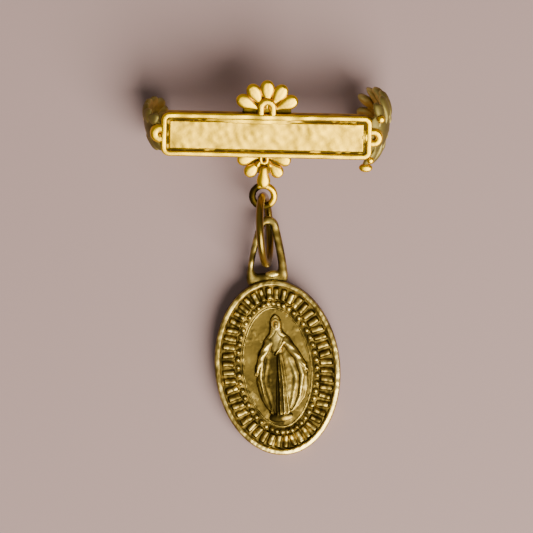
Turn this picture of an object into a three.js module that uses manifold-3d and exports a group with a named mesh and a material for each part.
// A gilt bar brooch with an oval devotional medal on a jump ring, lying on a flat surface.
// Millimetres. +X runs along the bar, +Y from the medal to the bar, +Z up from the surface.

import * as THREE from 'three';
import * as BufferGeometryUtils from 'three/addons/utils/BufferGeometryUtils.js';
import Module from 'manifold-3d';

const wasm = await Module();
wasm.setup();

// Bar plate
const plateLength = 21.1;
const plateHeight = 4.6;
const plateThickness = 0.75;
const plateCorner = 0.5;
const plateRise = 0.28;
const plateEdge = 0.12;
const rootDepth = 0.15;
const frameWidth = 0.6;
const grooveWidth = 0.28;
const plateTilt = 20;
const plateRoll = -1.2;

// Half daisies on the long edges of the plate
const topPetalLength = 3.4;
const topPetalWidth = 1.4;
const topPetalStep = 31.5;
const lowerPetalLength = 2.75;
const lowerPetalWidth = 1.25;
const lowerDaisyShift = -0.2;
const lowerPetalStep = 40;
const centrePetalLength = 3.3;
const petalThickness = 0.8;
const hubRadius = 0.98;
const hubHollowRadius = 0.3;
const hubEdge = 0.15;
const topHubReach = 0.65;
const endHubReach = 0.12;

// Eyelet under the lower daisy
const barEyeletRadius = 1.1;
const barEyeletWire = 0.68;

// Curled fans on the two ends, with the joint barrel and the catch behind them
const fanBulge = 1.6;
const fanStand = 6.15;
const fanThickness = 0.5;
const rightFan = { spread: 3.4, tail: 1.5, rib: 0.34, side: 1 };
const leftFan = { spread: 2.1, tail: 0.6, rib: 0.16, side: -1 };
const fanCup = 1.15;
const fanCupCentre = 0.9;
const fanPetalWidth = 1.2;

// Pin stem, joint barrel and catch
const stemDiameter = 0.7;
const stemClearance = 0.25;
const stemDepth = 3.6;
const holderWall = 0.35;
const holderLength = 1.5;
const catchSlotShare = 0.8;

// Jump ring
const ringOuterDiameter = 7.6;
const ringWireDiameter = 0.76;
const ringLean = 2.6;
const ringTip = 8.3;

// Medal
const medalWidth = 12.65;
const medalHeight = 17.8;
const medalThickness = 1.25;
const medalLean = 6.5;
const medalTilt = 3.5;
const rimWidth = 0.6;
const rimRise = 0.3;
const bedDepth = 0.12;
const barRingInset = 0.78;
const radialBarLength = 1.22;
const radialBarWidth = 0.5;
const radialBarRise = 0.3;
const radialBarCount = 48;
const beadRidgeInset = 2.1;
const beadRidgeWidth = 0.5;
const beadRidgeRise = 0.22;
const fieldInset = 2.95;
const fieldDepth = 0.16;
const medalEyeletHeight = 6.4;
const medalEyeletBase = 4.2;
const medalEyeletTop = 2.3;
const medalEyeletWall = 0.85;
const medalEyeletThickness = 0.95;
const medalEyeletBridge = 0.75;
const medalEyeletSkew = 0.6;
const linkSlack = 1.1;
const medalShift = -0.4;

// Raised figure on the medal's field
const figureHeight = 10.4;
const figureHalfWidth = 2.05;
const figureRise = 0.55;
const figureDrop = -0.2;

const facets = { corner: 4, section: 8, rib: 6, round: 12, ring: 36, oval: 48 };

const gilt = { bright: 0xe9c873, medal: 0xb99a55 };

// Turn degrees into radians
const radians = THREE.MathUtils.degToRad;

// A closed geometry as a solid that can be joined and cut
function solidFrom(geometry) {
  const bare = geometry.index ? geometry.toNonIndexed() : geometry.clone();
  for (const name of Object.keys(bare.attributes)) {
    if (name !== 'position') bare.deleteAttribute(name);
  }
  const merged = BufferGeometryUtils.mergeVertices(bare, 1e-5);
  const vertProperties = new Float32Array(merged.attributes.position.array);
  const triVerts = new Uint32Array(merged.index.array);
  return new wasm.Manifold(new wasm.Mesh({ numProp: 3, vertProperties, triVerts }));
}

// All the solids of a list joined in one
function joined(solids) {
  return solids.reduce((whole, solid) => whole.add(solid));
}

// A joined solid as a named, closed mesh
function meshFrom(solid, name, colour, roughness) {
  const { vertProperties, triVerts, numProp } = solid.getMesh();
  const positions = new Float32Array((vertProperties.length / numProp) * 3);
  for (let vertex = 0; vertex < positions.length / 3; vertex += 1) {
    positions.set(vertProperties.subarray(vertex * numProp, vertex * numProp + 3), vertex * 3);
  }
  const geometry = new THREE.BufferGeometry();
  geometry.setAttribute('position', new THREE.BufferAttribute(positions, 3));
  geometry.setIndex(new THREE.BufferAttribute(new Uint32Array(triVerts), 1));
  geometry.computeVertexNormals();
  const material = new THREE.MeshStandardMaterial({ color: colour, roughness, metalness: 1 });
  const mesh = new THREE.Mesh(geometry, material);
  mesh.name = name;
  return mesh;
}

// A closed body through sections that each hold the same number of points, counter-clockwise as
// seen from the side that the sections run towards
function loft(sections) {
  const count = sections[0].length;
  const positions = sections.flat().flatMap((point) => [point.x, point.y, point.z]);
  const indices = [];
  for (let row = 0; row < sections.length - 1; row += 1) {
    for (let k = 0; k < count; k += 1) {
      const next = (k + 1) % count;
      const a = row * count + k;
      const b = row * count + next;
      indices.push(a, b, b + count, a, b + count, a + count);
    }
  }
  const last = (sections.length - 1) * count;
  for (let k = 1; k < count - 1; k += 1) {
    indices.push(0, k + 1, k);
    indices.push(last, last + k, last + k + 1);
  }
  const geometry = new THREE.BufferGeometry();
  geometry.setAttribute('position', new THREE.Float32BufferAttribute(positions, 3));
  geometry.setIndex(indices);
  return solidFrom(geometry);
}

// A shape extruded along +Z from a given height, with an optional rounded edge
function slab(shape, bottom, thickness, edge = 0, edgeFacets = facets.corner) {
  const geometry = new THREE.ExtrudeGeometry(shape, {
    depth: thickness - 2 * edge,
    curveSegments: edgeFacets,
    bevelEnabled: edge > 0,
    bevelThickness: edge,
    bevelSize: edge,
    bevelOffset: -edge,
    bevelSegments: 2,
  });
  geometry.translate(0, 0, bottom + edge);
  return solidFrom(geometry);
}

// A rectangle with rounded corners, centred on the origin
function roundedRectangle(width, height, corner, path = new THREE.Shape()) {
  const x = width / 2;
  const y = height / 2;
  path.moveTo(x, -y + corner);
  path.lineTo(x, y - corner);
  path.absarc(x - corner, y - corner, corner, 0, Math.PI / 2);
  path.lineTo(-x + corner, y);
  path.absarc(-x + corner, y - corner, corner, Math.PI / 2, Math.PI);
  path.lineTo(-x, -y + corner);
  path.absarc(-x + corner, -y + corner, corner, Math.PI, Math.PI * 1.5);
  path.lineTo(x - corner, -y);
  path.absarc(x - corner, -y + corner, corner, Math.PI * 1.5, Math.PI * 2);
  return path;
}

// A ring of round wire around an axis along Z
function wireRing(meanRadius, wireDiameter, turns, sides) {
  return new THREE.TorusGeometry(meanRadius, wireDiameter / 2, sides, turns);
}

// The plate: a slab with a raised frame along its edge and a raised field inside a groove
function plate() {
  const top = plateThickness / 2;
  const base = slab(
    roundedRectangle(plateLength, plateHeight, plateCorner), -top, plateThickness, plateEdge);
  const frame = roundedRectangle(
    plateLength - 2 * plateEdge, plateHeight - 2 * plateEdge, plateCorner - plateEdge);
  const insideLength = plateLength - 2 * frameWidth;
  const insideHeight = plateHeight - 2 * frameWidth;
  frame.holes.push(roundedRectangle(insideLength, insideHeight, plateCorner / 2, new THREE.Path()));
  const field = roundedRectangle(
    insideLength - 2 * grooveWidth, insideHeight - 2 * grooveWidth, plateCorner / 2);
  return joined([
    base,
    slab(frame, top - rootDepth, plateRise + rootDepth),
    slab(field, top - rootDepth, plateRise * 0.85 + rootDepth, plateRise * 0.28),
  ]);
}

// A surface that leaves a long edge of the plate flat: reach away from it, side along it
function flatSurface(direction) {
  return (reach, side, lift) => new THREE.Vector3(
    side * direction, (plateHeight / 2 + reach) * direction, lift);
}

// A surface that leaves an end of the plate, bulges outward, curls back and ends in a short tail
// behind the plate. Its two long sides are cupped inward.
function curledSurface(fan) {
  const curl = fanCurlLength(fan);
  const depth = fanDepth(fan);
  return (reach, side, lift) => {
    const angle = Math.PI * Math.min(Math.max(reach, 0) / curl, 1);
    const beyond = Math.max(reach - curl, 0);
    const before = Math.min(reach, 0);
    const cup = fanCup * ((side - fanCupCentre) / rightFan.spread) ** 2;
    const outward = fanBulge * Math.sin(angle) - beyond + before - cup;
    const back = (depth / 2) * (1 - Math.cos(angle));
    const normal = new THREE.Vector2(
      Math.sin(angle) * depth, Math.cos(angle) * 2 * fanBulge).normalize();
    return new THREE.Vector3(
      fan.side * (plateLength / 2 + outward + normal.x * lift), side, -back + normal.y * lift);
  };
}

// Depth of a fan behind the plate. A fan that spreads less reaches deeper, so that the lower
// corners of both fans stand on the surface under the tilted plate.
function fanDepth(fan) {
  return fanStand - fan.spread * Math.tan(radians(plateTilt));
}

// Length of the curl along its surface, from the plate's end to the start of the tail
function fanCurlLength(fan) {
  return Math.PI * Math.hypot(fanBulge, fanDepth(fan) / 2) / Math.SQRT2;
}

// A drop-shaped petal that lies on a surface between two points given as reach and side.
// Each row holds the place along the petal, then half its width and its thickness, as shares.
const petalRows = [
  { along: 0.0, width: 0.24, thickness: 0.55 },
  { along: 0.3, width: 0.5, thickness: 0.8 },
  { along: 0.6, width: 0.86, thickness: 1.0 },
  { along: 0.8, width: 1.0, thickness: 1.0 },
  { along: 0.93, width: 0.72, thickness: 0.86 },
  { along: 1.0, width: 0.3, thickness: 0.6 },
];

function petal(surface, from, to, width, thickness, lift = 0, sides = facets.section) {
  const run = new THREE.Vector2().subVectors(to, from);
  const across = new THREE.Vector2(-run.y, run.x).normalize();
  const sections = petalRows.map((row) => {
    const centre = from.clone().addScaledVector(run, row.along);
    return sectionPoints(sides).map(([sideways, upward]) => {
      const spot = centre.clone().addScaledVector(across, (sideways * row.width * width) / 2);
      return surface(spot.x, spot.y, lift + (upward * row.thickness * thickness) / 2);
    });
  });
  return orientedLoft(sections);
}

// Points of a unit circle
function sectionPoints(count) {
  return Array.from({ length: count }, (unused, k) => {
    const angle = (2 * Math.PI * (k + 0.5)) / count;
    return [Math.cos(angle), Math.sin(angle)];
  });
}

// A loft whose faces point outward whichever way its surface is mirrored
function orientedLoft(sections) {
  const first = sections[0];
  const along = centreOf(sections[1]).sub(centreOf(first));
  const normal = new THREE.Vector3();
  const centre = centreOf(first);
  first.forEach((point, k) => {
    const a = point.clone().sub(centre);
    const b = first[(k + 1) % first.length].clone().sub(centre);
    normal.add(a.cross(b));
  });
  if (normal.dot(along) >= 0) return loft(sections);
  return loft(sections.map((section) => [...section].reverse()));
}

// Mean of a section's points
function centreOf(points) {
  const sum = points.reduce((total, point) => total.add(point), new THREE.Vector3());
  return sum.divideScalar(points.length);
}

// A hub: an arched boss that reaches over an edge of the plate, with a small hollow in its face.
// The edge lies at a distance from the plate's centre, in the direction of the angle.
function hub(edge, reach, angle) {
  const height = plateThickness / 2 + plateRise * 0.7;
  const centre = edge + reach;
  const outline = new THREE.Shape();
  outline.moveTo(edge - frameWidth / 2, -hubRadius);
  outline.lineTo(centre, -hubRadius);
  outline.absarc(centre, 0, hubRadius, -Math.PI / 2, Math.PI / 2);
  outline.lineTo(edge - frameWidth / 2, hubRadius);
  outline.closePath();
  const boss = slab(outline, -height, height * 2, hubEdge, facets.section);
  const hollow = new THREE.SphereGeometry(hubHollowRadius, facets.section, 6);
  hollow.scale(1, 1, 0.8).translate(centre + hubRadius * 0.35, 0, height);
  return boss.subtract(solidFrom(hollow)).rotate([0, 0, angle]);
}

// Half daisy on the top edge of the plate
function topDaisy() {
  const surface = flatSurface(1);
  const petals = [-2, -1, 0, 1, 2].map((step) => {
    const angle = radians(step * topPetalStep);
    const from = new THREE.Vector2(Math.cos(angle), Math.sin(angle)).multiplyScalar(0.2);
    const to = new THREE.Vector2(Math.cos(angle), Math.sin(angle)).multiplyScalar(topPetalLength);
    return petal(surface, from, to, topPetalWidth, petalThickness);
  });
  return [...petals, daisyWeb(1, topPetalLength * 0.72), hub(plateHeight / 2, topHubReach, 90)];
}

// Half daisy on the lower edge of the plate, with a longer centre petal that carries the eyelet
function lowerDaisy() {
  const surface = flatSurface(-1);
  const petals = [-2, -1, 0, 1, 2].map((step) => {
    const angle = radians(step * lowerPetalStep);
    const length = step === 0 ? centrePetalLength : lowerPetalLength;
    const from = new THREE.Vector2(Math.cos(angle), Math.sin(angle)).multiplyScalar(0.2);
    const to = new THREE.Vector2(Math.cos(angle), Math.sin(angle)).multiplyScalar(length);
    return petal(surface, from, to, lowerPetalWidth, petalThickness);
  });
  const shifted = [...petals, daisyWeb(-1, lowerPetalLength * 0.68), barEyelet()];
  return shifted.map((solid) => solid.translate([lowerDaisyShift, 0, 0]));
}

// Thin half disc behind the petals of a daisy, rooted a little inside the plate's edge
function daisyWeb(direction, radius) {
  const outline = new THREE.Shape();
  outline.absarc(0, 0, radius, 0, Math.PI);
  outline.lineTo(-radius, -rootDepth);
  outline.lineTo(radius, -rootDepth);
  outline.closePath();
  const web = slab(outline, -petalThickness * 0.42, petalThickness * 0.55);
  return web.rotate([0, 0, direction > 0 ? 0 : 180]).translate([0, (direction * plateHeight) / 2, 0]);
}

// Round eyelet under the lower daisy, in the plane of the plate
function barEyelet() {
  const eyelet = wireRing(barEyeletRadius, barEyeletWire, facets.round + 4, facets.section);
  return solidFrom(eyelet).translate([0, barEyeletHeight(), 0]);
}

// Height of the eyelet's centre in the plane of the plate: its wire runs into the centre petal
function barEyeletHeight() {
  return -(plateHeight / 2 + centrePetalLength + barEyeletRadius - barEyeletWire * 0.3);
}

// Petals of a curled fan: the tip's reach and side as shares of the fan's length and spread
const fanPetals = [
  { reach: 0.15, side: 0.92 },
  { reach: 0.38, side: 1.0 },
  { reach: 0.63, side: 1.0 },
  { reach: 0.87, side: 0.86 },
  { reach: 1.0, side: 0.34 },
];

// Curled fan of petals on one end of the plate
function curledFan(fan) {
  const surface = curledSurface(fan);
  const length = fanCurlLength(fan) + fan.tail;
  const lift = fan.rib / 2 + 0.03;
  const thickness = 2 * (fan.rib + fanThickness / 2 - lift);
  const petals = fanPetals.flatMap(({ reach, side }) => [1, -1].map((mirror) => {
    const to = new THREE.Vector2(reach * length, mirror * side * fan.spread);
    const from = new THREE.Vector2(to.x * 0.55, to.y * 0.16);
    return petal(surface, from, to, fanPetalWidth, thickness, lift, facets.rib);
  }));
  return joined([...petals, fanWeb(fan, surface, length)]);
}

// Curved sheet behind the petals of a curled fan
function fanWeb(fan, surface, length) {
  const steps = 11;
  const across = [-1, -0.5, 0, 0.5, 1];
  const sections = Array.from({ length: steps + 1 }, (unused, k) => {
    const share = k / steps;
    const reach = (share * 1.03 - 0.06) * length * 0.97;
    const half = fan.spread * (0.42 + 0.46 * Math.sin(Math.PI * Math.min(share * 1.25, 0.72)));
    const upper = across.map((side) => surface(reach, side * half, fanThickness / 2));
    const lower = across.map((side) => surface(reach, side * half, -fanThickness / 2));
    return [...upper, ...lower.reverse()];
  });
  return orientedLoft(sections);
}

// Barrel that holds the stem's end behind the left fan
function jointBarrel() {
  const bore = stemDiameter / 2 + stemClearance;
  const outer = bore + holderWall;
  const outline = new THREE.Shape();
  outline.absarc(0, 0, outer, 0, Math.PI * 2);
  outline.holes.push(new THREE.Path().absarc(0, 0, bore, 0, Math.PI * 2));
  return holderAlongX(outline, -holderCentre()).add(holderFoot(-1));
}

// Open hook that holds the stem's tip behind the right fan
function catchHook() {
  const bore = stemDiameter / 2 + stemClearance;
  const outer = bore + holderWall;
  const slot = Math.asin(Math.min((bore * catchSlotShare) / outer, 0.95));
  const inner = Math.asin(catchSlotShare);
  const outline = new THREE.Shape();
  outline.absarc(0, 0, outer, slot, Math.PI * 2 - slot);
  outline.absarc(0, 0, bore, Math.PI * 2 - inner, inner, true);
  return holderAlongX(outline, holderCentre()).add(holderFoot(1));
}

// Distance of the two holders from the middle of the plate
function holderCentre() {
  return plateLength / 2 - holderLength / 2 + 0.35;
}

// A holder's outline extruded along the stem. The outline's +X turns to the plate's height.
function holderAlongX(outline, centre) {
  const holder = slab(outline, -holderLength / 2, holderLength);
  return holder.rotate([0, -90, 0]).rotate([90, 0, 0]).translate([centre, 0, -stemDepth]);
}

// Block that joins a holder to the tail of its fan
function holderFoot(side) {
  const top = stemDepth + stemDiameter / 2 + stemClearance + holderWall * 0.5;
  const depth = fanDepth(side > 0 ? rightFan : leftFan) - top;
  const foot = new THREE.BoxGeometry(holderLength * 0.8, 1.1, depth);
  foot.translate(side * holderCentre(), 0, -(top + depth / 2));
  return solidFrom(foot);
}

// The whole bar brooch without its stem
function broochBar() {
  const solid = joined([
    plate(),
    ...topDaisy(),
    ...lowerDaisy(),
    hub(plateLength / 2, endHubReach, 0),
    hub(plateLength / 2, endHubReach, 180),
    curledFan(rightFan),
    curledFan(leftFan),
    jointBarrel(),
    catchHook(),
  ]);
  return meshFrom(solid, 'brooch_bar', gilt.bright, 0.32);
}

// Plain stem from the joint barrel to the catch
function pinStem() {
  const length = 2 * holderCentre() + holderLength * 0.9;
  const rod = new THREE.CylinderGeometry(
    stemDiameter / 2, stemDiameter / 2, length, facets.round).rotateZ(Math.PI / 2);
  rod.translate(0, 0, -stemDepth);
  return meshFrom(solidFrom(rod), 'pin_stem', gilt.bright, 0.3);
}

// Jump ring in its own plane
function jumpRing() {
  const ring = wireRing(ringMeanRadius(), ringWireDiameter, facets.ring, facets.section);
  return meshFrom(solidFrom(ring), 'jump_ring', gilt.medal, 0.35);
}

function ringMeanRadius() {
  return (ringOuterDiameter - ringWireDiameter) / 2;
}

// Points of an oval that runs inside the medal's outline by a given distance
function ovalPoints(inset, height) {
  const halfWidth = medalWidth / 2 - inset;
  const halfHeight = medalHeight / 2 - inset;
  return Array.from({ length: facets.oval }, (unused, k) => {
    const angle = (2 * Math.PI * k) / facets.oval;
    return new THREE.Vector3(Math.cos(angle) * halfWidth, Math.sin(angle) * halfHeight, height);
  });
}

// Medal's body: a flat back, a rounded side, a raised rim, the sunk bed of the radial bars, the
// ridge of beads and the sunk field
function medalBody() {
  const back = -medalThickness / 2;
  const face = medalThickness / 2;
  const bed = face - bedDepth;
  const field = face - fieldDepth;
  const ridgeIn = beadRidgeInset + beadRidgeWidth;
  return loft([
    ovalPoints(0.3, back),
    ovalPoints(0.06, back + 0.22),
    ovalPoints(0, back + 0.5),
    ovalPoints(0, face - 0.1),
    ovalPoints(rimWidth * 0.25, face + rimRise),
    ovalPoints(rimWidth * 0.75, face + rimRise),
    ovalPoints(rimWidth, bed),
    ovalPoints(beadRidgeInset, bed),
    ovalPoints(beadRidgeInset + beadRidgeWidth * 0.25, bed + beadRidgeRise),
    ovalPoints(ridgeIn - beadRidgeWidth * 0.25, bed + beadRidgeRise),
    ovalPoints(ridgeIn, bed),
    ovalPoints(fieldInset - 0.1, bed),
    ovalPoints(fieldInset, field),
  ]);
}

// Ring of radial bars between the rim and the ridge
function radialBars() {
  const middle = barRingInset + radialBarLength / 2;
  const halfWidth = medalWidth / 2 - middle;
  const halfHeight = medalHeight / 2 - middle;
  const bottom = medalThickness / 2 - bedDepth - rootDepth;
  const height = radialBarRise + rootDepth;
  return Array.from({ length: radialBarCount }, (unused, k) => {
    const angle = ovalAngle((k + 0.5) / radialBarCount, halfWidth, halfHeight);
    const x = Math.cos(angle) * halfWidth;
    const y = Math.sin(angle) * halfHeight;
    const outward = Math.atan2(Math.sin(angle) * halfWidth, Math.cos(angle) * halfHeight);
    const bar = new THREE.BoxGeometry(radialBarLength, radialBarWidth, height);
    taperTop(bar, 0.62);
    bar.rotateZ(outward).translate(x, y, bottom + height / 2);
    return solidFrom(bar);
  });
}

// Draw the top face of a box in to a share of its size
function taperTop(geometry, share) {
  const position = geometry.attributes.position;
  for (let k = 0; k < position.count; k += 1) {
    if (position.getZ(k) > 0) {
      position.setX(k, position.getX(k) * (0.5 + share / 2));
      position.setY(k, position.getY(k) * share);
    }
  }
}

// Angle on an oval at a share of its length, so that what repeats around it is evenly spaced
function ovalAngle(share, halfWidth, halfHeight) {
  const steps = 720;
  const lengths = [0];
  for (let k = 1; k <= steps; k += 1) {
    const middle = (2 * Math.PI * (k - 0.5)) / steps;
    const step = Math.hypot(Math.sin(middle) * halfWidth, Math.cos(middle) * halfHeight);
    lengths.push(lengths[k - 1] + step);
  }
  const wanted = share * lengths[steps];
  const found = lengths.findIndex((length) => length >= wanted);
  return (2 * Math.PI * found) / steps;
}

// Outline of the long eyelet, narrow and round at its top and wide where it meets the medal
function eyeletOutline(inset, path) {
  const topRadius = medalEyeletTop / 2 - inset;
  const topCentre = medalHeight / 2 + medalEyeletHeight - medalEyeletTop / 2;
  const baseHalf = medalEyeletBase / 2 - inset;
  const base = inset > 0 ? medalHeight / 2 + medalEyeletBridge : medalHeight / 2 - rimWidth;
  path.moveTo(baseHalf * 0.7, base);
  path.quadraticCurveTo(baseHalf, base, baseHalf, base + baseHalf * 0.5);
  path.quadraticCurveTo(baseHalf, (base + topCentre) / 2, medalEyeletSkew + topRadius, topCentre);
  path.absarc(medalEyeletSkew, topCentre, topRadius, 0, Math.PI);
  path.quadraticCurveTo(-baseHalf, (base + topCentre) / 2, -baseHalf, base + baseHalf * 0.5);
  path.quadraticCurveTo(-baseHalf, base, -baseHalf * 0.7, base);
  path.closePath();
  return path;
}

function medalEyelet() {
  const outline = eyeletOutline(0, new THREE.Shape());
  outline.holes.push(eyeletOutline(medalEyeletWall, new THREE.Path()));
  return slab(outline, -medalEyeletThickness / 2, medalEyeletThickness, 0.2, facets.section);
}

// Robe and veil of the figure: height, half width and rise as shares, from the feet to the crown
const robeRows = [
  { up: 0.03, width: 0.3, rise: 0.5 },
  { up: 0.1, width: 0.42, rise: 0.75 },
  { up: 0.3, width: 0.46, rise: 0.9 },
  { up: 0.5, width: 0.42, rise: 0.95 },
  { up: 0.64, width: 0.44, rise: 1.0 },
  { up: 0.74, width: 0.5, rise: 1.0 },
  { up: 0.79, width: 0.34, rise: 0.9 },
  { up: 0.83, width: 0.2, rise: 0.85 },
];

// Mantle behind the robe, spread by the lowered arms
const mantleRows = [
  { up: 0.06, width: 0.5, rise: 0.3 },
  { up: 0.22, width: 0.78, rise: 0.4 },
  { up: 0.36, width: 1.0, rise: 0.45 },
  { up: 0.43, width: 1.04, rise: 0.45 },
  { up: 0.6, width: 0.62, rise: 0.55 },
  { up: 0.76, width: 0.5, rise: 0.6 },
  { up: 0.84, width: 0.3, rise: 0.6 },
];

// A low rounded relief through rows of height, half width and rise
function relief(rows) {
  const ground = medalThickness / 2 - fieldDepth;
  const foot = -figureHeight / 2 - figureDrop;
  const arch = [[1, -0.15], [1, 0], [0.86, 0.62], [0.45, 1], [-0.45, 1], [-0.86, 0.62], [-1, 0],
    [-1, -0.15]];
  return orientedLoft(rows.map((row) => arch.map(([sideways, upward]) => new THREE.Vector3(
    sideways * row.width * figureHalfWidth,
    foot + row.up * figureHeight,
    ground + upward * row.rise * figureRise,
  ))));
}

// An arm from the shoulder to the lowered hand, on one side of the figure
function arm(side) {
  const ground = medalThickness / 2 - fieldDepth;
  const foot = -figureHeight / 2 - figureDrop;
  const shoulder = new THREE.Vector3(
    side * 0.42 * figureHalfWidth, foot + 0.74 * figureHeight, ground + figureRise * 0.55);
  const elbow = new THREE.Vector3(
    side * 0.8 * figureHalfWidth, foot + 0.55 * figureHeight, ground + figureRise * 0.5);
  const hand = new THREE.Vector3(
    side * 1.1 * figureHalfWidth, foot + 0.42 * figureHeight, ground + figureRise * 0.45);
  const route = new THREE.CatmullRomCurve3([shoulder, elbow, hand]);
  const radius = figureHalfWidth * 0.17;
  const outline = new THREE.Shape().absarc(0, 0, radius, 0, Math.PI * 2);
  return solidFrom(new THREE.ExtrudeGeometry(
    outline, { extrudePath: route, steps: 4, curveSegments: 4 }));
}

// Veiled head, round base under the feet and the robed body
function figure() {
  const ground = medalThickness / 2 - fieldDepth;
  const foot = -figureHeight / 2 - figureDrop;
  const head = new THREE.SphereGeometry(1, facets.round, 8);
  head.scale(figureHalfWidth * 0.3, figureHeight * 0.085, figureRise * 1.05);
  head.translate(0, foot + figureHeight * 0.9, ground);
  const globe = new THREE.SphereGeometry(1, facets.round, 8);
  globe.scale(figureHalfWidth * 0.62, figureHeight * 0.055, figureRise * 0.6);
  globe.translate(0, foot + figureHeight * 0.02, ground);
  return [relief(robeRows), relief(mantleRows), arm(1), arm(-1), solidFrom(head), solidFrom(globe)];
}

function medal() {
  const solid = joined([medalBody(), medalEyelet(), ...radialBars(), ...figure()]);
  return meshFrom(solid, 'medal', gilt.medal, 0.42);
}

// Lift or lower a group until its lowest point lies on the surface
function setDown(group) {
  group.updateMatrixWorld(true);
  const box = new THREE.Box3().setFromObject(group, true);
  group.position.z -= box.min.z;
  group.updateMatrixWorld(true);
}

// The brooch lies on the feet of its fans, with its lower edge dipped
function placedBrooch() {
  const brooch = new THREE.Group();
  brooch.add(broochBar(), pinStem());
  brooch.rotation.set(radians(plateTilt), 0, radians(plateRoll), 'ZYX');
  setDown(brooch);
  return brooch;
}

// The ring stands on the surface, passes through the bar's eyelet and leans a little
function placedRing(barEye) {
  const ring = new THREE.Group();
  ring.add(jumpRing());
  const upright = new THREE.Matrix4().makeRotationY(Math.PI / 2);
  const tipped = new THREE.Matrix4().makeRotationY(radians(-ringTip));
  const leant = new THREE.Matrix4().makeRotationZ(radians(ringLean));
  ring.setRotationFromMatrix(leant.multiply(tipped).multiply(upright));
  setDown(ring);
  const drop = ring.position.z - barEye.z;
  const along = Math.sqrt(ringMeanRadius() ** 2 - (drop / Math.cos(radians(ringTip))) ** 2);
  const down = new THREE.Vector3(Math.sin(radians(ringLean)), -Math.cos(radians(ringLean)), 0);
  const sideways = -drop * Math.tan(radians(ringTip));
  ring.position.x = barEye.x + down.x * along + sideways;
  ring.position.y = barEye.y + down.y * along;
  ring.updateMatrixWorld(true);
  return ring;
}

// The medal lies on its lower edge, with the ring passing through the base of its long eyelet
function placedMedal(ring) {
  const group = new THREE.Group();
  group.add(medal());
  group.rotation.set(radians(medalTilt), 0, radians(medalLean), 'ZYX');
  setDown(group);
  const threaded = medalHeight / 2 + medalEyeletBridge + linkSlack + ringWireDiameter / 2;
  const spot = new THREE.Vector3(0, threaded, 0).applyEuler(group.rotation);
  spot.z += group.position.z;
  const drop = ring.position.z - spot.z;
  const along = Math.sqrt(ringMeanRadius() ** 2 - (drop / Math.cos(radians(ringTip))) ** 2);
  const down = new THREE.Vector3(Math.sin(radians(ringLean)), -Math.cos(radians(ringLean)), 0);
  const sideways = drop * Math.tan(radians(ringTip));
  group.position.x = ring.position.x + down.x * along + sideways - spot.x + medalShift;
  group.position.y = ring.position.y + down.y * along - spot.y;
  return group;
}

const brooch = placedBrooch();
const barEye = brooch.localToWorld(new THREE.Vector3(lowerDaisyShift, barEyeletHeight(), 0));
const ring = placedRing(barEye);
const hanging = placedMedal(ring);

const part = new THREE.Group();
part.add(brooch, ring, hanging);
part.updateMatrixWorld(true);
const extent = new THREE.Box3().setFromObject(part, true);
const middle = extent.getCenter(new THREE.Vector3());
part.position.set(-middle.x, -middle.y, -extent.min.z);
part.updateMatrixWorld(true);

export default part;
